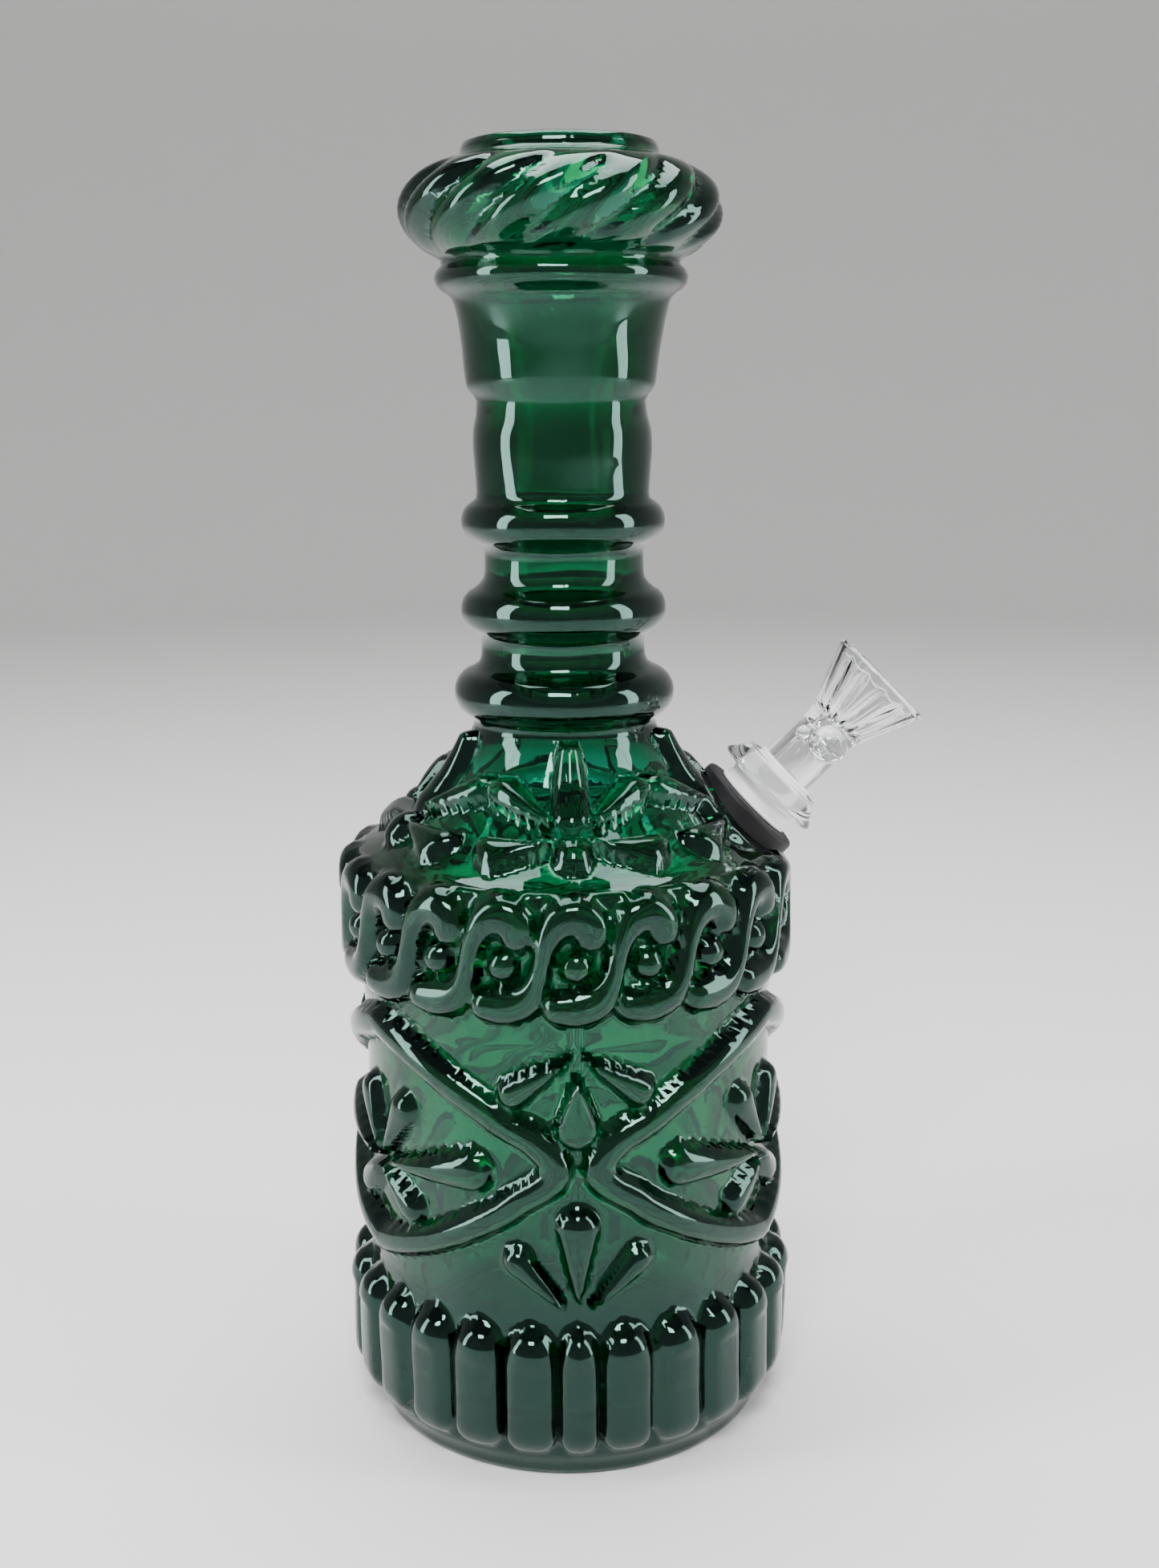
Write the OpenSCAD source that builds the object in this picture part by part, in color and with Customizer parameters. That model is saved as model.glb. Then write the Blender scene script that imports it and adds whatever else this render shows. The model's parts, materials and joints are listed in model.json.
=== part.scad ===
// Pressed-glass decanter fitted as a water pipe: a bottle with a drilled shoulder,
// a rubber grommet, a glass downstem with a ground joint, and a lift-out funnel bowl.
// Millimetres, +Z up. The origin is the centre of the foot, on the surface it stands on,
// and the drilled shoulder faces +X.

/* [Bottle] */
// Height from the foot to the top of the lip
bottle_h = 280; // [240:1:340]
// Outside radius of the plain wall of the body
body_r = 46; // [40:0.5:56]
// Thickness of the glass wall
wall = 4.2; // [3:0.1:5]
// Thickness of the glass under the cavity
floor_t = 9; // [6:0.5:14]
// How far the flutes and the scroll band stand proud of the wall
relief = 4.5; // [2:0.1:6]
// Height of the top of the flutes
skirt_h = 36; // [30:0.5:42]
// Height of the bottom of the flutes
skirt_low = 7; // [5:0.5:9]
// Number of flutes around the foot
flute_count = 26; // [24:1:32]
// Number of beads in the scroll band
bead_count = 20; // [16:1:24]
// Height of the scroll band
band_h = 31; // [26:1:36]

/* [Neck] */
// Outside radius of the straight neck
neck_r = 17.6; // [16:0.1:20]
// How far the three neck rings stand proud of the neck
ring_relief = 5; // [3:0.1:7]
// Half the height of a neck ring
ring_half = 4.6; // [3.5:0.1:5.5]
// Largest radius of the bulb under the lip
bulb_r = 34.1; // [30:0.1:38]
// Half the height of the bulb
bulb_half = 10.4; // [9:0.1:12]
// Outside radius of the lip
lip_r = 20.8; // [19:0.1:24]
// Radius of the mouth opening
mouth_r = 16.4; // [13:0.1:18]

/* [Shoulder hole] */
// Radius of the hole drilled through the shoulder
hole_r = 10.5; // [9.8:0.1:11]
// Angle of the hole and the stem above the horizontal
tilt = 44.6; // [40:0.1:50]
// How far down the shoulder the hole is, as height above the band
hole_rise = 5.9; // [5:0.1:8]
// Radius of the grommet's flanges
flange_r = 12.9; // [12.5:0.1:14]
// Thickness of the grommet's outer flange
flange_t = 2.8; // [2.4:0.1:4]
// Thickness of the grommet's inner flange
inner_flange_t = 3.8; // [3.4:0.1:4.5]

/* [Downstem] */
// Outside radius of the ground socket
socket_r = 8.5; // [8.3:0.05:9]
// Radius of the ground joint at its wide end
joint_r = 7.25; // [6.8:0.05:7.4]
// Length of the ground joint
joint_len = 20; // [16:0.5:23]
// Narrowing of the joint's radius for each millimetre of length
joint_taper = 0.05; // [0.04:0.005:0.06]
// Height of the socket's mouth above the shoulder
socket_top = 11.8; // [11:0.1:15]
// Radius of the clear skirt around the socket's mouth
skirt_r = 12.8; // [11.5:0.1:13.5]
// Outside radius of the tube below the joint
tube_r = 6; // [5.5:0.1:6.5]
// Wall of the tube below the joint
tube_wall = 1.4; // [1:0.1:1.8]
// Length of the downstem below the shoulder
stem_depth = 92; // [70:1:94]

/* [Bowl] */
// Radius of the bowl's stem
bowl_stem_r = 6.35; // [6:0.05:6.6]
// Wall of the bowl's stem
bowl_stem_wall = 2.1; // [1.6:0.1:2.4]
// Length of the clear stem, from the collar to the funnel
bowl_stem_len = 14.7; // [12:0.1:18]
// Radius of the funnel's rim
rim_r = 12.5; // [11:0.1:15]
// Length of the funnel
funnel_len = 14.7; // [12:0.1:18]
// Wall of the funnel
funnel_wall = 2; // [1.6:0.1:2.4]
// Radius of the draught hole at the bottom of the funnel
draught_r = 2.4; // [2.1:0.1:3]
// Radius of the glass marble on the stem
marble_r = 4.2; // [3.6:0.1:4.6]
// Radius of the small glass dot beside the marble
dot_r = 1.9; // [1.5:0.1:2.2]

/* [Hidden] */
$fn = 96;
arc_steps = 8;
fit_gap = 0.05;    // running clearance of the stem in the grommet and of the ground joint
seat_gap = 0.1;    // clearance between the rubber and the glass it seats on
weld = 0.4;        // how far flame-worked pieces run into each other

// Heights up the bottle
band_z1 = 0.468 * bottle_h;                 // top of the scroll band
band_z0 = band_z1 - band_h;                 // bottom of the scroll band
shoulder_z = 0.565 * bottle_h;              // top of the shoulder cone
shoulder_r = neck_r + 3;
ring_zs = [0.589, 0.6545, 0.722] * bottle_h;  // centres of the neck rings
swell_z = 0.786 * bottle_h;                 // the neck's slight swell
step_z = 0.821 * bottle_h;                  // where the flared collar begins
flange_z = 0.902 * bottle_h;                // centre of the ring under the bulb
bulb_z = 0.9505 * bottle_h;                 // centre of the bulb
lip_h = bottle_h - bulb_z - bulb_half;      // height of the lip
swell_r = neck_r + 1.7;
collar_r = neck_r + 2.7;
collar_top_r = collar_r + 2.7;
under_ring_r = collar_r + 6.6;              // the ring under the bulb
under_ring_half = 2.8;
waist_r = collar_r + 3.5;                   // between that ring and the bulb
foot_r = body_r - 1;
foot_h = 4;

// The shoulder cone, and the point on it where the hole's axis comes out
cone_r = body_r - 0.8;                      // the cone's radius at the band
cone_run = cone_r - shoulder_r;
cone_rise = shoulder_z - band_z1;
cone_len = norm([cone_run, cone_rise]);
wall_run = wall * cone_len / cone_rise;     // the wall's thickness measured level
hole_z = band_z1 + hole_rise;
hole_x = cone_r - cone_run * hole_rise / cone_rise;

// The joint and the bowl, measured along the tilted axis from the shoulder
socket_end = socket_top - joint_len - 2;    // where the socket narrows to the tube
joint_end_r = joint_r - joint_len * joint_taper;
collar_h = 1.2;
collar_r2 = joint_r - 0.05;
bowl_z0 = socket_top + 0.8 + collar_h;      // bottom of the clear stem
funnel_z0 = bowl_z0 + bowl_stem_len;
funnel_z1 = funnel_z0 + funnel_len;
bore_r = bowl_stem_r - bowl_stem_wall;
seal_t = 3;                                 // glass between the stem's bore and the funnel

// Points of an arc, from angle a0 to a1
function arc(cx, cz, rx, rz, a0, a1, n = arc_steps) =
    [for (i = [0 : n]) let (a = a0 + (a1 - a0) * i / n) [cx + rx * cos(a), cz + rz * sin(a)]];

// A bulging ring on the neck, as seen in the outline
function ring_arc(z, r) = arc(r, z, ring_relief, ring_half, -80, 80);

// The outside of the bottle from the foot up, grown sideways by g
function outline(g = 0) = [for (p = concat(
    [[foot_r - 0.6, 0], [foot_r, 0.6], [body_r, foot_h], [body_r, band_z0]],
    arc(body_r, band_z0 + band_h / 2, relief, band_h / 2, -70, 70),
    [[cone_r, band_z1], [shoulder_r, shoulder_z]],
    [for (z = ring_zs) each ring_arc(z, neck_r)],
    [[neck_r + 0.8, swell_z - 14], [swell_r, swell_z - 4], [swell_r, swell_z + 3],
     [neck_r + 0.6, step_z - 5.5], [neck_r + 0.5, step_z - 1], [collar_r, step_z],
     [collar_r + 0.6, step_z + 9], [collar_top_r, flange_z - under_ring_half - 2]],
    arc(waist_r, flange_z, under_ring_r - waist_r, under_ring_half, -80, 80),
    arc(lip_r - 2, bulb_z, bulb_r - lip_r + 2, bulb_half, -68, 72, 12),
    [[lip_r - 0.8, bottle_h - lip_h + 0.4], [lip_r, bottle_h - lip_h + 1.2]],
    arc(lip_r - 1.2, bottle_h - 1.2, 1.2, 1.2, 0, 90, 4)))
    [p[0] + g, p[1]]];

// The inside of the bottle from the floor up, shrunk sideways by g
function cavity(g = 0) = [for (p = concat(
    arc(body_r - wall - 8, floor_t + 8, 8, 8, -90, 0),
    [[body_r - wall, band_z1 - wall], [shoulder_r + cone_run * 0.08 - wall_run, shoulder_z - cone_rise * 0.08],
     [neck_r - wall, shoulder_z + 4], [neck_r - wall, step_z], [collar_r - wall, step_z + 4],
     [collar_r - wall, flange_z]],
    arc(mouth_r - 1, bulb_z, bulb_r - wall - mouth_r + 1, bulb_half - wall + 1.5, -70, 70, 12),
    [[mouth_r, bottle_h - lip_h + 0.5], [mouth_r, bottle_h - 1], [mouth_r + 0.8, bottle_h + 1]]))
    [p[0] - g, p[1]]];

// Puts what stands on +Z on the tilted axis of the shoulder hole
module on_hole_axis() {
    translate([hole_x, 0, hole_z]) rotate([0, 90 - tilt, 0]) children();
}

// The same children n times around the bottle, the first of them facing the front
module around(n) {
    for (i = [0 : n - 1]) rotate([0, 0, 360 * i / n]) children();
}

// A solid of revolution from the axis out to a list of points
module turned(points, low, high) {
    rotate_extrude() polygon(concat([[0, low]], points, [[0, high]]));
}

// A tube or ring from an outer and an inner radius at each end
module ring_solid(r0, r1, hole0, hole1, z0, z1) {
    rotate_extrude() polygon([[hole0, z0], [r0, z0], [r1, z1], [hole1, z1]]);
}

module glass_wall(g = 0) {
    difference() {
        turned(outline(g), 0, bottle_h);
        turned(cavity(g), floor_t, bottle_h + 1);
    }
}

// The skirt of upright flutes around the foot, domed at both ends
module fluted_skirt() {
    flute_r = PI * (body_r + relief) / flute_count;
    out_r = body_r + relief + 1.1;
    intersection() {
        translate([0, 0, skirt_low]) linear_extrude(skirt_h - skirt_low) {
            circle(r = body_r - 1);
            around(flute_count) translate([0, flute_r - out_r]) circle(r = flute_r);
        }
        turned(concat([[body_r - 2, skirt_low]],
                      arc(out_r - flute_r, skirt_low + flute_r, flute_r, flute_r, -75, 0, 4),
                      arc(out_r - flute_r, skirt_h - flute_r, flute_r, flute_r, 0, 75, 5),
                      [[body_r - 2, skirt_h]]), skirt_low, skirt_h);
    }
}

module bottle() {
    color([0.02, 0.42, 0.27, 0.8]) difference() {
        union() {
            turned(outline(), 0, bottle_h);
            fluted_skirt();
            around(bead_count) translate([0, -body_r - relief + 3, band_z0 + band_h / 2])
                sphere(r = 3.8, $fn = 32);
        }
        turned(cavity(), floor_t, bottle_h + 1);
        on_hole_axis() translate([0, 0, -3 * wall]) cylinder(r = hole_r, h = 6 * wall);
    }
}

module grommet() {
    color([0.08, 0.08, 0.09]) difference() {
        on_hole_axis() union() {
            rotate_extrude() polygon(concat([[0, -wall / 2], [flange_r, -wall / 2]],
                arc(flange_r - 1, flange_t - 1, 1, 1, 0, 90, 4), [[0, flange_t]]));
            translate([0, 0, -wall - inner_flange_t])
                cylinder(r = flange_r - 0.8, h = inner_flange_t + wall / 2 + weld);
        }
        difference() {
            glass_wall(seat_gap);
            on_hole_axis() translate([0, 0, -3 * wall])
                cylinder(r = hole_r - seat_gap, h = 6 * wall);
        }
        on_hole_axis() translate([0, 0, -3 * wall])
            cylinder(r = socket_r + fit_gap, h = 6 * wall);
    }
}

// Ground female joint: the stub ring that rests on the rubber, the waisted neck, and the
// white band at the mouth, with the tapered bore for the bowl
module downstem_socket() {
    stub_r = socket_r + 0.9;
    band_r = socket_r + 1;
    neck_z0 = flange_t + 1.2;
    band_z = socket_top - 4.6;
    color([0.93, 0.93, 0.92]) on_hole_axis() rotate_extrude() polygon(concat(
        [[joint_end_r - 0.4, socket_end], [tube_r + weld, socket_end],
         [socket_r, socket_end + 4], [socket_r, flange_t + fit_gap], [stub_r, flange_t + fit_gap],
         [stub_r, neck_z0], [socket_r + 0.35, neck_z0 + 0.4]],
        arc(band_r, band_z - 2, 0.75, 1.4, 180, 100, 4),
        [[band_r, band_z], [band_r, socket_top], [joint_r, socket_top],
         [joint_end_r, socket_top - joint_len], [joint_end_r - 0.4, socket_top - joint_len]]));
}

// Clear skirt fused around the mouth of the socket: wide below, sloping in to the top
module downstem_skirt() {
    band_r = socket_r + 1;
    low = socket_top - 4.4;
    color([0.9, 0.95, 0.95, 0.4]) on_hole_axis() rotate_extrude()
        polygon(concat([[band_r - weld / 2, low], [skirt_r - 1, low]],
                       arc(skirt_r - 0.6, low + 0.6, 0.6, 0.6, -80, 50, 4),
                       [[band_r + 0.3, socket_top + 0.8], [band_r - weld / 2, socket_top + 0.6]]));
}

module downstem_tube() {
    color([0.85, 0.95, 0.92, 0.4]) on_hole_axis()
        ring_solid(tube_r, tube_r, tube_r - tube_wall, tube_r - tube_wall,
                   -stem_depth, socket_end + weld);
}

// Ground male joint with its collar, a running fit in the socket
module bowl_joint() {
    low = socket_top - joint_len + 0.5;
    color([0.95, 0.95, 0.94]) on_hole_axis() rotate_extrude() polygon([
        [bore_r, low], [joint_end_r + 0.5 * joint_taper - fit_gap, low],
        [joint_r - fit_gap, socket_top], [collar_r2, socket_top + 0.8],
        [collar_r2, bowl_z0], [bore_r, bowl_z0]]);
}

module bowl_stem() {
    color([0.9, 0.95, 0.95, 0.4]) on_hole_axis() difference() {
        translate([0, 0, bowl_z0 - weld]) cylinder(r = bowl_stem_r, h = bowl_stem_len + weld);
        translate([0, 0, bowl_z0 - 1]) cylinder(r = bore_r, h = bowl_stem_len - seal_t + 1);
        translate([0, 0, funnel_z0 - seal_t - 1]) cylinder(r = draught_r, h = seal_t + 3);
    }
}

module bowl_funnel() {
    color([0.9, 0.95, 0.95, 0.4]) on_hole_axis() rotate_extrude() polygon(concat(
        [[draught_r, funnel_z0 - weld], [bowl_stem_r, funnel_z0 - weld], [rim_r, funnel_z1 - 1]],
        arc(rim_r - 0.9, funnel_z1 - 0.9, 0.9, 0.9, 10, 90, 4),
        [[rim_r - funnel_wall, funnel_z1 - 0.4], [bowl_stem_r - 0.8, funnel_z0 + 1.5],
         [draught_r, funnel_z0 + 0.6]]));
}

// A marble welded to the front of the stem, just under the funnel
module bowl_marble() {
    color([0.95, 0.95, 0.95, 0.5]) on_hole_axis()
        translate([0, -bowl_stem_r - marble_r + weld, funnel_z0 - 4])
            sphere(r = marble_r, $fn = 64);
}

// The small dot of glass beside the marble
module bowl_dot() {
    color([0.95, 0.95, 0.95, 0.5]) on_hole_axis()
        rotate([0, 0, -36]) translate([0, -bowl_stem_r - dot_r + weld, funnel_z0 - 6.2])
            sphere(r = dot_r, $fn = 48);
}

bottle();
grommet();
downstem_socket();
downstem_skirt();
downstem_tube();
bowl_joint();
bowl_stem();
bowl_funnel();
bowl_marble();
bowl_dot();
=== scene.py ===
# %% [markdown]
# # A green pressed-glass decanter with a glass bowl in its shoulder
#
# The decanter is thick emerald glass, pressed and blown in a mould that gave it its flutes, scrolls,
# leaves and twisted bulb. A hole drilled in its shoulder holds a black rubber grommet, a glass
# downstem with a ground joint, and a small clear funnel that lifts out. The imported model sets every
# size and place, and this script makes the surfaces: one glass wall with its relief, the flame-worked
# pieces, the rubber, the light and the camera.

import json
import math

import bpy
import numpy as np
from mathutils import Matrix, Vector


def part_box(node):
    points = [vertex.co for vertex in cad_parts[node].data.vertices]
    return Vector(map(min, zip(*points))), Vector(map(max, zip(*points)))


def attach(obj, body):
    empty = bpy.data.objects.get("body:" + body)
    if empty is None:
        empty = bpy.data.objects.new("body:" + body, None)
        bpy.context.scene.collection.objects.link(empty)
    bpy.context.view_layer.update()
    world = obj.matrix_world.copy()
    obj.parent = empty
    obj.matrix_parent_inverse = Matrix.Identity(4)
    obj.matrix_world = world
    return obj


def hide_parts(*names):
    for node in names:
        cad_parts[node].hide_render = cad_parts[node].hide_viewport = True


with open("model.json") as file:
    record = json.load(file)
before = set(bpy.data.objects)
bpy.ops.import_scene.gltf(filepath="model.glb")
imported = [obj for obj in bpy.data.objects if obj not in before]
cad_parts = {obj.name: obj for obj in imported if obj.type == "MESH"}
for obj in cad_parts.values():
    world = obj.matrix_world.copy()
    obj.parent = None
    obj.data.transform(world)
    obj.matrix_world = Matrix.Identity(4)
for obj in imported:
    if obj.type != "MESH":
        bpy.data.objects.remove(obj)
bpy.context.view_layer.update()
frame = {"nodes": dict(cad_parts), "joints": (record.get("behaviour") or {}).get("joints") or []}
MM = 0.001
print("nodes:", sorted(frame["nodes"]))

# %% [markdown]
# The camera stands a little above the middle of the bottle and looks slightly down at it, close
# enough for the mouth and the foot to show as ellipses of different depth. Its lens is a short
# portrait lens, and its tiny roll levels the table edge as the eye sees it.

# %% Camera
CAMERA_PLACE = (0.0032, -0.3859, 0.2289)
CAMERA_DOWN = math.radians(12.48)
CAMERA_ROLL = math.radians(-0.4)
LENS = 40.5
SENSOR_WIDTH = 36
camera = bpy.data.objects.new("camera", bpy.data.cameras.new("camera"))
bpy.context.scene.collection.objects.link(camera)
camera.data.sensor_width = SENSOR_WIDTH
camera.data.lens = LENS
camera.data.clip_start = 0.01
camera.matrix_world = (
    Matrix.Translation(CAMERA_PLACE)
    @ Matrix.Rotation(math.pi / 2 - CAMERA_DOWN, 4, "X")
    @ Matrix.Rotation(CAMERA_ROLL, 4, "Z")
)
bpy.context.scene.camera = camera
print("camera at", tuple(round(v, 3) for v in camera.location))

# %% [markdown]
# Shader nodes are easier to read as sums. `Num` wraps a socket that carries a number, so that
# `noise * 0.2 + 0.1` adds its Math nodes by itself, and `Shader.node` makes any other node from its
# type, its settings and its inputs.

# %% Helpers for shader nodes
class Num:
    """A number on its way through a material: +, * and ** add Math nodes."""

    def __init__(self, shader, socket):
        self.shader = shader
        self.socket = socket

    def math(self, operation, other, swapped=False):
        first, second = (other, self) if swapped else (self, other)
        return self.shader.node("ShaderNodeMath", {"operation": operation}, {0: first, 1: second})

    def __add__(self, other):
        return self.math("ADD", other)

    def __mul__(self, other):
        return self.math("MULTIPLY", other)

    def __pow__(self, other):
        return self.math("POWER", other)

    def __radd__(self, other):
        return self.math("ADD", other, swapped=True)

    def __rmul__(self, other):
        return self.math("MULTIPLY", other, swapped=True)


class Shader:
    """A new material with a Principled shader, and a short way to add nodes to it."""

    def __init__(self, name, **constants):
        self.material = bpy.data.materials.new(name)
        self.material.use_nodes = True
        self.nodes = self.material.node_tree.nodes
        self.links = self.material.node_tree.links
        self.surface = self.nodes["Principled BSDF"]
        for socket, value in constants.items():
            self.surface.inputs[socket.replace("_", " ")].default_value = value
        self.place = self.nodes.new("ShaderNodeTexCoord").outputs["Object"]

    def node(self, kind, settings=None, inputs=None, output=0):
        new = self.nodes.new(kind)
        for name, value in (settings or {}).items():
            if name == "stops":
                ramp = new.color_ramp.elements
                while len(ramp) < len(value):
                    ramp.new(0.5)
                for stop, (position, colour) in zip(ramp, value):
                    stop.position, stop.color = position, colour
            else:
                setattr(new, name, value)
        for name, value in (inputs or {}).items():
            self.feed(new.inputs[name], value)
        return Num(self, new.outputs[output])

    def feed(self, socket, value):
        if isinstance(value, Num):
            self.links.new(value.socket, socket)
        elif isinstance(value, bpy.types.NodeSocket):
            self.links.new(value, socket)
        else:
            socket.default_value = value

    def noise(self, scale, detail=2.0, roughness=0.5, stretch=(1, 1, 1)):
        spread = self.node("ShaderNodeMapping", {}, {"Vector": self.place, "Scale": stretch})
        return self.node("ShaderNodeTexNoise", {},
                         {"Vector": spread, "Scale": scale, "Detail": detail, "Roughness": roughness})

    def bump(self, height, distance, strength=1.0):
        ripple = self.node("ShaderNodeBump", {},
                           {"Height": height, "Distance": distance, "Strength": strength})
        self.feed(self.surface.inputs["Normal"], ripple)

    def set(self, socket, value):
        self.feed(self.surface.inputs[socket], value)


# %% [markdown]
# The bottle's colour is in the depth of its glass. Volume Absorption goes pale where the wall is
# thin and nearly black-green along the edges of the flutes, which a tinted surface alone can't do.
# A light green on the surface keeps the thin places from going grey. The bump stands for the slight
# orange peel of fire-polished glass, and the uneven roughness for handling smears.

# %% Green glass
GLASS_DEPTH_COLOUR = (0.0, 0.80, 0.72, 1.0)
GLASS_DENSITY = 1250
green = Shader("green_glass", Roughness=0.02, IOR=1.52, Transmission_Weight=1.0)
green.set("Base Color", (0.45, 1.0, 0.86, 1.0))
green.set("Specular Tint", (0.5, 1.0, 0.86, 1.0))
ripples = green.noise(30, 2) * 0.8 + green.noise(150, 2) * 0.2
green.bump(ripples, 0.0005, 0.25)
smears = green.noise(22, 4, 0.6, (1, 1, 0.5))
green.set("Roughness", smears ** 3 * 0.12)
absorb = green.nodes.new("ShaderNodeVolumeAbsorption")
absorb.inputs["Color"].default_value = GLASS_DEPTH_COLOUR
absorb.inputs["Density"].default_value = GLASS_DENSITY
green.links.new(absorb.outputs[0], green.nodes["Material Output"].inputs["Volume"])
print("material", green.material.name)

# %% [markdown]
# The bowl and the downstem are clear lamp-worked glass. Their ground joints are matt white, since
# the grinding scatters light. The grommet is moulded black rubber with a faint bloom.

# %% Clear glass, ground glass and rubber
clear = Shader("clear_glass", IOR=1.47, Transmission_Weight=1.0)
clear.set("Base Color", (0.985, 1.0, 0.995, 1.0))
clear.bump(clear.noise(90, 2), 0.0004, 0.25)
clear.set("Roughness", clear.noise(40, 3) ** 3 * 0.1)

ground = Shader("ground_glass", IOR=1.5, Coat_Roughness=0.25)
tone = ground.noise(120, 4, 0.6, (1, 1, 0.4))
ground.set("Base Color", ground.node(
    "ShaderNodeValToRGB",
    {"stops": [(0.3, (0.90, 0.91, 0.90, 1)), (0.7, (0.98, 0.98, 0.97, 1))]}, {"Fac": tone}))
ground.set("Roughness", tone * 0.25 + 0.38)
ground.set("Coat Weight", tone * 0.35)
ground.bump(ground.noise(2600, 2, 0.7), 0.00004, 0.6)

rubber = Shader("black_rubber", IOR=1.35)
bloom = rubber.noise(70, 5, 0.65)
rubber.set("Base Color", rubber.node(
    "ShaderNodeValToRGB",
    {"stops": [(0.35, (0.003, 0.003, 0.004, 1)), (0.8, (0.012, 0.012, 0.014, 1))]}, {"Fac": bloom}))
rubber.set("Roughness", bloom * 0.25 + 0.42)
rubber.bump(rubber.noise(1800, 3, 0.6) * 0.6 + bloom * 0.4, 0.00006, 0.7)
print("materials:", clear.material.name, ground.material.name, rubber.material.name)

# %% [markdown]
# Glass shows what surrounds it, so the studio is part of its look. The floor is a round pale cove
# that curves up into a wall on all sides, and the light comes from four soft boxes: a tall one on
# each side, whose reflections draw the edges, one high in front, and a wide one overhead.

# %% Studio
def deselect():
    if bpy.context.object and bpy.context.object.mode != "OBJECT":
        bpy.ops.object.mode_set(mode="OBJECT")
    bpy.ops.object.select_all(action="DESELECT")


def turned(name, outline, steps):
    """Spins an outline of (radius, height) points in metres round Z and returns the object.
    Points on the axis close the shape there."""
    deselect()
    mesh = bpy.data.meshes.new(name)
    mesh.from_pydata([(r, 0, z) for r, z in outline],
                     [(i, i + 1) for i in range(len(outline) - 1)], [])
    piece = bpy.data.objects.new(name, mesh)
    bpy.context.scene.collection.objects.link(piece)
    piece.select_set(True)
    bpy.context.view_layer.objects.active = piece
    bpy.ops.object.mode_set(mode="EDIT")
    bpy.ops.mesh.select_all(action="SELECT")
    bpy.ops.mesh.spin(steps=steps, angle=2 * math.pi, center=(0, 0, 0), axis=(0, 0, 1))
    bpy.ops.mesh.select_all(action="SELECT")
    bpy.ops.mesh.remove_doubles(threshold=1e-6)
    bpy.ops.mesh.normals_make_consistent(inside=False)
    bpy.ops.object.mode_set(mode="OBJECT")
    bpy.ops.object.shade_smooth()
    return piece


def arc(centre_r, centre_z, radius_r, radius_z, start, stop, count):
    """Points of an arc or of part of an ellipse, from one angle to another in degrees."""
    angles = [math.radians(start + (stop - start) * i / count) for i in range(count + 1)]
    return [(centre_r + radius_r * math.cos(a), centre_z + radius_z * math.sin(a)) for a in angles]


cove_outline = [(0.0, 0.0), (0.5, 0.0)] + arc(1.5, 0.9, 0.9, 0.9, -90, 0, 24) + [(2.4, 3.0)]
cove = turned("cove", cove_outline, 96)
cove_paint = Shader("pale_cove", Roughness=0.6)
cove_paint.set("Base Color", (0.80, 0.80, 0.79, 1))
cove.data.materials.append(cove_paint.material)


def soft_box(name, place, aim, width, height, power):
    lamp = bpy.data.objects.new(name, bpy.data.lights.new(name, "AREA"))
    bpy.context.scene.collection.objects.link(lamp)
    lamp.data.shape = "RECTANGLE"
    lamp.data.size, lamp.data.size_y = width, height
    lamp.data.energy = power
    lamp.location = place
    lamp.rotation_euler = (Vector(aim) - Vector(place)).to_track_quat("-Z", "Y").to_euler()


MIDDLE = (0, 0, 0.15)
soft_box("left_box", (-0.75, -0.25, 0.40), MIDDLE, 0.22, 0.8, 8)
soft_box("right_box", (0.8, -0.2, 0.40), MIDDLE, 0.22, 0.8, 6.5)
soft_box("front_box", (-0.05, -0.75, 1.0), MIDDLE, 0.45, 0.3, 15)
soft_box("top_box", (0.0, 0.25, 1.2), MIDDLE, 0.9, 0.7, 16)
world = bpy.data.worlds.new("studio")
bpy.context.scene.world = world
world.use_nodes = True
world.node_tree.nodes["Background"].inputs["Color"].default_value = (0.85, 0.87, 0.9, 1)
world.node_tree.nodes["Background"].inputs["Strength"].default_value = 0.22
print("studio:", cove.name, "and four soft boxes")

# %% [markdown]
# ## The bottle
# The blank is turned first: one outline from the middle of the foot, up the outside to the lip, and
# another down the inside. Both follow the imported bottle's sizes, in millimetres from its foot.

# %% The bottle's outlines
low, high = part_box("bottle")
WALL_R = 46.0
print("packed bottle:", round((high.z - low.z) / MM, 1), "mm tall")


def ring(z, r, neck, half):
    """A rounded ring on the neck: r is its outer radius and half is half its height."""
    return arc(neck, z, r - neck, half, -80, 80, 14)


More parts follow.
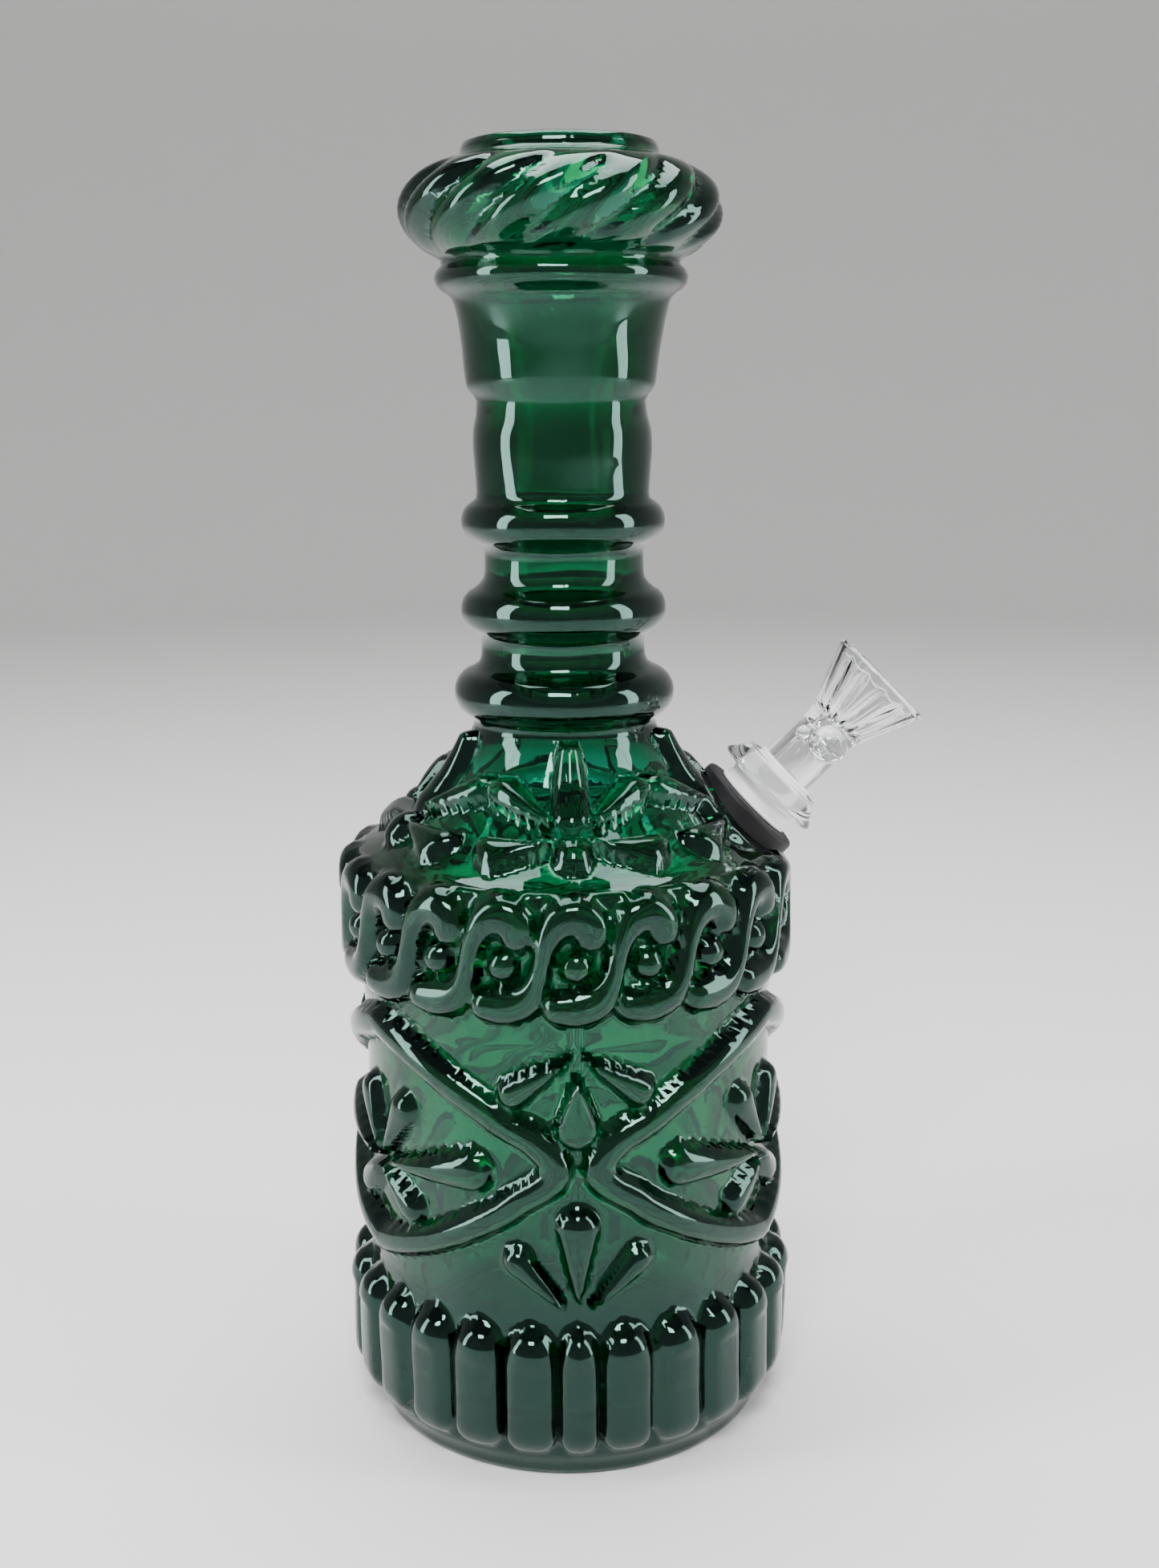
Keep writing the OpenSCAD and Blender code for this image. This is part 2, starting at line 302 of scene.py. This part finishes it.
outside = (
    [(0.0, 1.6), (34.0, 1.6), (38.0, 0.8)]
    + arc(40.5, 0.8, 1.2, 0.8, 180, 270, 4)
    + arc(43.8, 1.2, 1.2, 1.2, -90, 0, 5)
    + [(45.4, 3.0), (46.9, 6.0), (46.9, 33.0), (WALL_R, 38.5), (WALL_R, 98.0), (46.6, 102.0),
       (46.9, 106.0), (46.9, 127.0), (46.7, 129.6)]
    + arc(45.4, 130.3, 1.2, 0.9, 0, 90, 4)
    + [(42.6, 132.6), (38.6, 135.4), (34.2, 139.0), (29.9, 143.0), (26.0, 147.4), (23.0, 151.8),
       (21.0, 155.4), (20.2, 158.0)]
    + ring(165.0, 24.3, 19.0, 5.4) + [(18.1, 172.0), (17.9, 176.5)]
    + ring(183.2, 22.5, 18.4, 4.8) + [(17.4, 190.0), (17.3, 196.0)]
    + ring(202.2, 22.2, 18.0, 4.6) + [(18.6, 208.5), (18.9, 213.0), (19.3, 217.5), (19.2, 221.5)]
    + [(18.4, 224.4), (18.1, 227.6), (19.0, 229.2), (20.2, 230.2), (20.6, 233.5), (21.1, 238.5),
       (22.0, 244.0), (23.0, 248.4)]
    + arc(23.8, 252.6, 3.1, 2.9, -75, 75, 10)
    + arc(19.5, 266.0, 14.6, 10.4, -66, 64, 26)
    + [(22.6, 276.2), (20.9, 276.9), (20.4, 277.5)]
    + arc(19.9, 278.6, 0.9, 1.0, -40, 60, 5)
    + arc(18.4, 278.8, 1.5, 1.2, 40, 130, 5)
)
inside = (
    [(0.0, 9.6), (20.0, 9.2)]
    + arc(33.0, 17.8, 8.8, 8.8, -90, 0, 10)
    + [(41.8, 60.0), (41.6, 96.0), (41.8, 104.0), (41.8, 126.0), (40.2, 128.7), (29.3, 141.4),
       (18.4, 154.3), (14.6, 159.5), (13.5, 164.0), (13.3, 172.0), (13.2, 200.0), (13.4, 226.0),
       (15.2, 233.0), (16.6, 243.0), (18.2, 250.0)]
    + arc(15.0, 266.0, 13.6, 7.6, -62, 68, 16)
    + [(17.4, 275.0), (16.6, 277.0), (16.5, 278.2)]
)


def evenly(outline, gap):
    """The same outline with points about gap apart, its corners slightly eased."""
    points = np.array(outline, float)
    steps = np.hypot(*np.diff(points, axis=0).T)
    along = np.concatenate([[0], np.cumsum(steps)])
    wanted = np.linspace(0, along[-1], int(along[-1] / gap) + 1)
    return np.column_stack([np.interp(wanted, along, points[:, 0]),
                            np.interp(wanted, along, points[:, 1])])


NECK_START = 158.0
BODY_GAP, NECK_GAP, INSIDE_GAP = 1.08, 1.46, 4.2
outer = evenly(outside, BODY_GAP)
split = int(np.argmax(outer[:, 1] > NECK_START))
body_rows = outer[:split]
neck_rows = evenly(outer[split - 1:], NECK_GAP)
inner_rows = evenly(inside, INSIDE_GAP)
print("rows:", len(body_rows), "body,", len(neck_rows), "neck,", len(inner_rows), "inside")

# %% [markdown]
# The relief was pressed by the mould, so it is pressed here too. Each ornament is a small height
# map written as a formula of the angle round the bottle and the height: a dome over a tapered
# capsule makes a leaf, a scroll or a rib, and a cosine of a twisted angle makes the bulb's rope.
# Where ornaments meet, the highest one wins, as it does where a cutter sank deepest in the mould.

# %% Height formulas
def dome(q, power=0.5):
    """1 at the middle of a shape and 0 from its edge on, where q is 1."""
    return np.clip(1 - q * q, 0, None) ** power


def capsule(u, v, start, stop, r0, r1, ease=1.0):
    """How far a point is across a capsule that widens from r0 to r1: 0 on its spine, 1 at its edge."""
    du, dv = stop[0] - start[0], stop[1] - start[1]
    t = np.clip(((u - start[0]) * du + (v - start[1]) * dv) / (du * du + dv * dv), 0, 1)
    reach = np.hypot(u - start[0] - t * du, v - start[1] - t * dv)
    return reach / (r0 + (r1 - r0) * t ** ease)


def leaf(u, v, point, tip, half_width, height=3.0):
    """A leaf with a sharp end at point and a round end about tip."""
    return height * dome(capsule(u, v, point, tip, 0.4, half_width, 0.8), 0.4)


def mirrored(shape, u, v, point, tip, *sizes):
    """The same leaf on both sides of the middle."""
    return np.maximum(shape(u, v, point, tip, *sizes),
                      shape(u, v, (-point[0], point[1]), (-tip[0], tip[1]), *sizes))


def strand(u, v, spine, radii, height, power=0.5):
    """A rounded ridge along a curved spine."""
    q = np.full(u.shape, 9.0)
    for (a, b, r0, r1) in zip(spine[:-1], spine[1:], radii[:-1], radii[1:]):
        q = np.minimum(q, capsule(u, v, a, b, r0, r1))
    return height * dome(q, power)


def smooth_curve(points, per_piece=4):
    """Points along a smooth curve through the given ones (a Catmull-Rom spline)."""
    points = [np.array(p, float) for p in points]
    points = [2 * points[0] - points[1]] + points + [2 * points[-1] - points[-2]]
    curve = []
    for a, b, c, d in zip(points[:-3], points[1:-2], points[2:-1], points[3:]):
        for i in range(per_piece):
            t = i / per_piece
            curve.append(0.5 * (2 * b + (c - a) * t + (2 * a - 5 * b + 4 * c - d) * t * t
                                + (3 * b - a - 3 * c + d) * t ** 3))
    return curve + [points[-2]]


def wrapped(angle, period):
    """The angle from the nearest multiple of the period."""
    return (angle + period / 2) % period - period / 2


def flutes(angle, z):
    """Upright flutes with flattened fronts and domed tops, narrower at the two mould seams."""
    narrow, wide = 5.4, 7.05
    away = np.abs(angle)
    away = np.minimum(away, 180 - away)
    index = np.floor((away - narrow) / (2 * wide))
    q = np.where(away < narrow, away / narrow, (away - narrow - (index + 0.5) * 2 * wide) / wide)
    top = np.clip((z - 29.0) / 7.0, 0, None)
    foot = np.clip((13.0 - z) / 6.0, 0, None)
    column = np.clip((29.5 - z) / 1.5, 0, 1)
    edge = np.abs(q) ** (2 + 1.6 * column)
    return (4.8 - 0.6 * column) * np.clip(1 - edge - top ** 2 - foot ** 2, 0, None) ** 0.5


SCROLL_SPINE = [(-11.2, 107.6), (-7.4, 107.5), (-3.2, 109.0), (-0.7, 112.6), (0.6, 117.2), (1.9, 122.0),
                (4.3, 125.7), (7.8, 126.7), (10.6, 125.0), (11.0, 122.8)]
SCROLL_RADII = [3.9, 4.4, 4.0, 2.9, 2.4, 2.9, 4.0, 4.5, 4.3, 3.8]
SCROLLS = 20
BAND_R = 49.0


def scroll_band(angle, z):
    """S-shaped scrolls side by side, with a bead in each gap."""
    pitch = 360 / SCROLLS
    spine = smooth_curve([(u, v, r) for (u, v), r in zip(SCROLL_SPINE, SCROLL_RADII)], 3)
    points = [(p[0], p[1]) for p in spine]
    radii = [p[2] for p in spine]
    raised = np.zeros(angle.shape)
    for shift in (-1, 0, 1):
        u = np.radians(wrapped(angle - pitch / 2, pitch) + shift * pitch) * BAND_R
        raised = np.maximum(raised, strand(u, z, points, radii, 4.0, 0.42))
    u = np.radians(wrapped(angle, pitch)) * BAND_R
    bead = 3.5 * dome(np.hypot(u, z - 116.1) / 3.75)
    return np.maximum(raised, bead)


def frames_and_leaves(angle, z):
    """Three eye-shaped frames round the body, each with a sprig of six leaves inside, and two
    sprigs of three leaves in each space between them."""
    u = np.radians(wrapped(angle - 60, 120)) * WALL_R
    spine = [(57 * x, 25.3 * (1 - 0.45 * x - 0.55 * x * x)) for x in np.linspace(0, 0.72, 10)]
    corners = {1: [(48.5, 6.9), (52.3, 4.0), (54.3, 1.2), (54.6, -0.4)],
               -1: [(45.2, 7.0), (50.0, 4.6), (53.4, 2.3), (54.6, 0.4)]}
    raised = np.zeros(angle.shape)
    for up, corner in corners.items():
        rib = [(np.radians(a) * WALL_R, 72 + up * h) for a, h in spine + corner]
        raised = np.maximum(raised, strand(np.abs(u), z, rib, [3.5] * len(rib), 3.8, 0.36))
    raised = np.maximum(raised, mirrored(leaf, u, z, (0.9, 68.0), (7.2, 79.0), 3.9, 3.2))
    raised = np.maximum(raised, mirrored(leaf, u, z, (2.6, 66.2), (25.6, 70.0), 4.9, 3.6))
    raised = np.maximum(raised, mirrored(leaf, u, z, (0.9, 64.0), (9.2, 57.2), 3.7, 3.2))
    u = np.radians(wrapped(angle, 120)) * WALL_R
    raised = np.maximum(raised, leaf(u, z, (0, 92.5), (0, 81.3), 4.9, 4.0))
    raised = np.maximum(raised, mirrored(leaf, u, z, (1.6, 96.4), (13.0, 88.6), 3.6, 3.5))
    raised = np.maximum(raised, leaf(u, z, (0, 42.5), (0, 58.6), 4.7, 4.0))
    return np.maximum(raised, mirrored(leaf, u, z, (2.6, 41.0), (12.6, 50.9), 3.4, 3.4))


def shoulder_flowers(angle, z, radius):
    """Five half flowers of five petals and a bead, standing on the edge of the shoulder."""
    u = radius * np.sin(np.radians(wrapped(angle, 72)))
    v = (z - 131.0) * 1.37
    upright = dome(capsule(u, v, (0, 15.5), (0, 33.0), 4.5, 2.6, 1.6))
    raised = 3.3 * upright
    raised = np.maximum(raised, mirrored(leaf, u, v, (3.4, 12.8), (12.6, 20.8), 4.2, 3.4))
    raised = np.maximum(raised, mirrored(leaf, u, v, (4.0, 8.8), (16.4, 6.8), 3.7, 3.4))
    return np.maximum(raised, 3.6 * dome(np.hypot(u / 4.3, (v - 7.6) / 4.4)))


def twist(angle, z):
    """The bulb's diagonal rope: fourteen lobes with a crease between each two."""
    lobes, middle, lean = 14, 266.0, 2.3
    q = wrapped((angle - lean * (z - middle)) * lobes / 360 + 0.5, 1) * 2
    ends = np.clip(np.minimum((z - 256.0) / 5.0, (276.0 - z) / 4.0), 0, 1)
    return -3.1 * np.abs(q) ** 2.2 * ends


def pressed_height(angle, z, radius):
    """The whole relief, in millimetres, at each point of the blank."""
    height = np.zeros(angle.shape)
    for low_z, high_z, shape in ((6, 37, flutes), (36, 103, frames_and_leaves),
                                 (101, 131.5, scroll_band)):
        here = (z > low_z) & (z < high_z)
        height[here] = np.maximum(height[here], shape(angle[here], z[here]))
    here = (z > 130.5) & (z < 160)
    height[here] = np.maximum(height[here], shoulder_flowers(angle[here], z[here], radius[here]))
    here = (z > 256) & (z < 276)
    height[here] = twist(angle[here], z[here])
    return height


# %% [markdown]
# Each part of the blank is spun from its outline, pressed, and then joined to the next by
# bridging their open rims. The body has twice as many columns as the neck, because its ornaments
# are finer, and the inside has few, because it is plain.

# %% Press and join the bottle
COLUMNS = 364
SEAM_TURN = 2.7
SEAM_HALF_WIDTH, SEAM_HEIGHT = 0.4, 0.22


def in_metres(outline):
    return [(r * MM, z * MM) for r, z in outline]


def coordinates(piece):
    """The mesh's points as rows of x, y and z."""
    co = np.empty(len(piece.data.vertices) * 3)
    piece.data.vertices.foreach_get("co", co)
    return co.reshape(-1, 3)


def set_coordinates(piece, co):
    """Moves the mesh's points to the given rows."""
    piece.data.vertices.foreach_set("co", co.ravel())
    piece.data.update()


HOLE = (39.87, 0.0, 136.94)
LAND_R, LAND_FADE = 18.5, 4.0
downstem_axis = Vector(frame["joints"][0]["axis"]).normalized()


def press(piece):
    """Moves the blank's points out along its normals by the height of the relief."""
    co = coordinates(piece) / MM
    radius = np.hypot(co[:, 0], co[:, 1])
    angle = np.degrees(np.arctan2(co[:, 0], -co[:, 1])) - SEAM_TURN
    angle = (angle + 180) % 360 - 180
    height = pressed_height(angle, co[:, 2], radius)
    seam = np.minimum(np.abs(angle), 180 - np.abs(angle)) < SEAM_HALF_WIDTH
    outside_wall = (co[:, 2] > 5) & (radius > 15)
    height = height + np.where(seam & outside_wall, SEAM_HEIGHT, 0)
    wave = 0.12 * np.sin(np.radians(angle) * 3 + co[:, 2] * 0.11) + 0.1 * np.sin(
        np.radians(angle) * 5 - co[:, 2] * 0.23)
    height = height + np.where(outside_wall, wave, 0)
    normal = np.empty(len(co) * 3)
    piece.data.vertices.foreach_get("normal", normal)
    normal = normal.reshape(-1, 3)
    outward = np.column_stack([co[:, 0], co[:, 1], np.zeros(len(co))])
    outward = outward / np.maximum(radius, 1e-6)[:, None]
    slope = np.clip((co[:, 2] - 130.5) / 2, 0, 1) * np.clip((160 - co[:, 2]) / 2, 0, 1)
    way = outward * (1 - slope[:, None]) + normal * slope[:, None]
    set_coordinates(piece, (co + way * height[:, None]) * MM)


def place_land(co):
    """Levels the shoulder round the drilled hole, so that the rubber has a cone to seat on."""
    cone_top, cone_foot = np.array([20.6, 158.2]), np.array([45.2, 131.04])
    x, y, z = co.T
    radius = np.hypot(x, y)
    share = (z - cone_foot[1]) / (cone_top[1] - cone_foot[1])
    cone_r = cone_foot[0] + share * (cone_top[0] - cone_foot[0])
    axis = np.array(downstem_axis)
    offset = co - np.array(HOLE)
    along = offset @ axis
    away = np.linalg.norm(offset - along[:, None] * axis, axis=1)
    blend = np.clip((LAND_R - away) / LAND_FADE, 0, 1)
    blend = blend * blend * (3 - 2 * blend)
    blend = np.where((z > 124) & (z < 158) & (x > 0) & (np.abs(along) < 9), blend, 0)
    wanted = np.minimum(radius, cone_r)
    wanted = np.where(z > 131.0, cone_r, wanted)
    scale = (radius + (wanted - radius) * blend) / np.maximum(radius, 1e-6)
    return np.column_stack([x * scale, y * scale, z])


body_shell = turned("bottle_body", in_metres(body_rows), COLUMNS)
neck_shell = turned("bottle_neck", in_metres(neck_rows), COLUMNS // 2)
inner_shell = turned("bottle_inside", in_metres(inner_rows), COLUMNS // 4)
for shell in (body_shell, neck_shell):
    press(shell)
set_coordinates(body_shell, place_land(coordinates(body_shell) / MM) * MM)

deselect()
for shell in (inner_shell, neck_shell, body_shell):
    shell.select_set(True)
bpy.context.view_layer.objects.active = body_shell
bpy.ops.object.join()
decanter = body_shell
decanter.name = "decanter"
bpy.ops.object.mode_set(mode="EDIT")


def bridge_rims(low_z, high_z):
    """Bridges the two open rims that lie between two heights."""
    bpy.ops.mesh.select_mode(type="EDGE")
    bpy.ops.mesh.select_all(action="DESELECT")
    bpy.ops.mesh.select_non_manifold(extend=False, use_wire=False, use_boundary=True,
                                     use_multi_face=False, use_non_contiguous=False, use_verts=False)
    bpy.ops.object.mode_set(mode="OBJECT")
    verts = decanter.data.vertices
    for edge in decanter.data.edges:
        if edge.select:
            z = verts[edge.vertices[0]].co.z
            edge.select = low_z < z < high_z
    bpy.ops.object.mode_set(mode="EDIT")
    bpy.ops.mesh.bridge_edge_loops()


bridge_rims(0.150, 0.165)
bridge_rims(0.270, 0.290)
bpy.ops.mesh.select_all(action="SELECT")
bpy.ops.mesh.normals_make_consistent(inside=False)
bpy.ops.object.mode_set(mode="OBJECT")
print("decanter:", len(decanter.data.polygons), "faces")

# %% [markdown]
# The hole was drilled after the bottle was made, with a diamond cutter along the stem's axis, so a
# Boolean with a plain cylinder is the right tool for it.

# %% Drill the shoulder
tilt = Vector((0, 0, 1)).rotation_difference(downstem_axis).to_matrix().to_4x4()
hole_centre = Vector(HOLE) * MM


def on_hole_axis(piece):
    """Stands a piece that was made upright on the tilted axis, and applies its place."""
    deselect()
    piece.matrix_world = Matrix.Translation(hole_centre) @ tilt @ piece.matrix_world
    piece.select_set(True)
    bpy.context.view_layer.objects.active = piece
    bpy.ops.object.transform_apply(location=True, rotation=True, scale=True)
    return piece


HOLE_R = 10.5 * MM
DRILL_REACH = 0.016
drill_outline = [(0, -DRILL_REACH), (HOLE_R, -DRILL_REACH), (HOLE_R, DRILL_REACH), (0, DRILL_REACH)]
drill = on_hole_axis(turned("drill", drill_outline, 96))
cut = decanter.modifiers.new("hole", "BOOLEAN")
cut.operation = "DIFFERENCE"
cut.object = drill
cut.solver = "MANIFOLD"
deselect()
bpy.context.view_layer.objects.active = decanter
decanter.select_set(True)
bpy.ops.object.modifier_apply(modifier="hole")
bpy.data.objects.remove(drill)
bpy.ops.object.shade_smooth_by_angle(angle=math.radians(60))
decanter.data.materials.clear()
decanter.data.materials.append(green.material)
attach(decanter, "bottle_body")
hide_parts("bottle")
print("decanter after drilling:", len(decanter.data.polygons), "faces")

# %% [markdown]
# ## The stem and the bowl
# These were turned in a flame from tubing, so each is an outline spun round the stem's axis. Sizes
# are in millimetres along that axis, from the shoulder's surface.

# %% Downstem and bowl
def flame_worked(name, outline, steps, shader, body, slot, *nodes, shape=None):
    """Spins a closed outline, shapes it if it has to be, and stands it on the stem's axis."""
    piece = turned(name, in_metres(outline + outline[:1]), steps)
    if shape:
        set_coordinates(piece, shape(coordinates(piece) / MM) * MM)
    piece.data.materials.append(shader.material)
    on_hole_axis(piece)
    bpy.ops.object.shade_smooth_by_angle(angle=math.radians(40))
    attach(piece, body)
    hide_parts(*nodes)
    print(name, len(piece.data.polygons), "faces")


socket_outline = (
    [(5.85, -10.2), (6.6, -10.0), (8.3, -6.4), (8.5, -5.2), (8.5, 2.85)]
    + arc(8.9, 3.35, 0.5, 0.5, -90, 90, 6)
    + arc(10.6, 5.6, 1.9, 1.6, 205, 140, 8)
    + [(9.5, 7.3), (9.5, 11.3)]
    + arc(9.1, 11.4, 0.4, 0.4, 0, 90, 4)
    + [(7.35, 11.8), (7.25, 11.7), (6.25, -8.2), (5.85, -8.4)]
)
flame_worked("ground_socket", socket_outline, 96, ground, "downstem", "ground_glass", "downstem_socket")
skirt_outline = (
    [(9.55, 7.35), (10.6, 7.25)] + arc(12.15, 7.95, 0.68, 0.68, -100, 50, 8)
    + [(11.6, 9.6), (10.6, 11.3), (9.9, 12.3)] + arc(9.7, 12.35, 0.3, 0.25, 30, 160, 4)
    + [(9.55, 12.1)]
)
flame_worked("clear_skirt", skirt_outline, 128, clear, "downstem", "clear_glass", "downstem_skirt")
tube_outline = (
    [(4.6, -9.8), (4.6, -91.0)] + arc(5.3, -91.3, 0.7, 0.7, 180, 360, 6) + [(6.0, -91.0), (6.0, -9.85)]
)
flame_worked("stem_tube", tube_outline, 72, clear, "downstem", "clear_glass", "downstem_tube")
joint_outline = (
    [(4.3, -7.7), (6.2, -7.7), (6.25, -7.5), (7.2, 11.7), (7.2, 12.4)]
    + arc(7.0, 13.3, 0.25, 0.5, -30, 90, 5) + [(6.4, 13.75), (4.3, 13.75)]
)
flame_worked("ground_cone", joint_outline, 96, ground, "bowl", "ground_glass", "bowl_joint")
bowl_outline = (
    [(4.25, 13.8), (6.3, 13.8), (6.35, 14.4), (6.35, 26.4), (6.5, 27.7), (6.9, 28.9), (12.2, 41.9)]
    + arc(11.55, 42.3, 0.95, 0.9, 0, 180, 10)
    + [(10.2, 40.8), (9.2, 38.4), (8.1, 36.0), (7.1, 33.6), (6.0, 31.2), (5.0, 29.7), (3.5, 29.0),
       (2.6, 28.4), (2.4, 27.2), (2.6, 26.0), (3.8, 25.4), (4.25, 24.6)]
)


def press_panels(co):
    """The press that shaped the funnel's inside had twelve hollow panels with ridges between."""
    panels = 12
    radius = np.hypot(co[:, 0], co[:, 1])
    angle = np.arctan2(co[:, 1], co[:, 0])
    wall_r = 6.9 + (co[:, 2] - 28.9) * 0.408
    inner = (co[:, 2] > 28.6) & (co[:, 2] < 41.5) & (radius < wall_r - 0.8)
    ridge = 1 - np.abs(np.sin(angle * panels / 2))
    grow = 1 - 0.55 * ridge * np.where(inner, 1, 0) / np.maximum(radius, 1)
    return co * np.column_stack([grow, grow, np.ones(len(co))])


flame_worked("funnel_bowl", bowl_outline, 144, clear, "bowl", "clear_glass",
             "bowl_stem", "bowl_funnel", shape=press_panels)


def glass_ball(name, node):
    """A ball of clear glass in the place and size of a packed one, welded to the bowl's stem."""
    node_low, node_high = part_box(node)
    centre = (node_low + node_high) / 2
    deselect()
    bpy.ops.mesh.primitive_ico_sphere_add(subdivisions=5, radius=(node_high.z - node_low.z) / 2,
                                          location=centre)
    ball = bpy.context.object
    ball.name = name
    bpy.ops.object.transform_apply(location=True, rotation=True, scale=True)
    bpy.ops.object.shade_smooth()
    ball.data.materials.append(clear.material)
    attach(ball, "bowl")
    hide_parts(node)


glass_ball("marble", "bowl_marble")
glass_ball("glass_dot", "bowl_dot")

# %% [markdown]
# ## The grommet
# The rubber is plain: a flange on the shoulder, a waist in the hole and a bore for the stem. The
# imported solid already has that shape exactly, with its back cut to the cone it seats on, so it is
# kept and only takes the rubber finish.

# %% Grommet
grommet = frame["nodes"]["grommet"]
grommet.data.materials.clear()
grommet.data.materials.append(rubber.material)
print("grommet:", len(grommet.data.polygons), "faces")
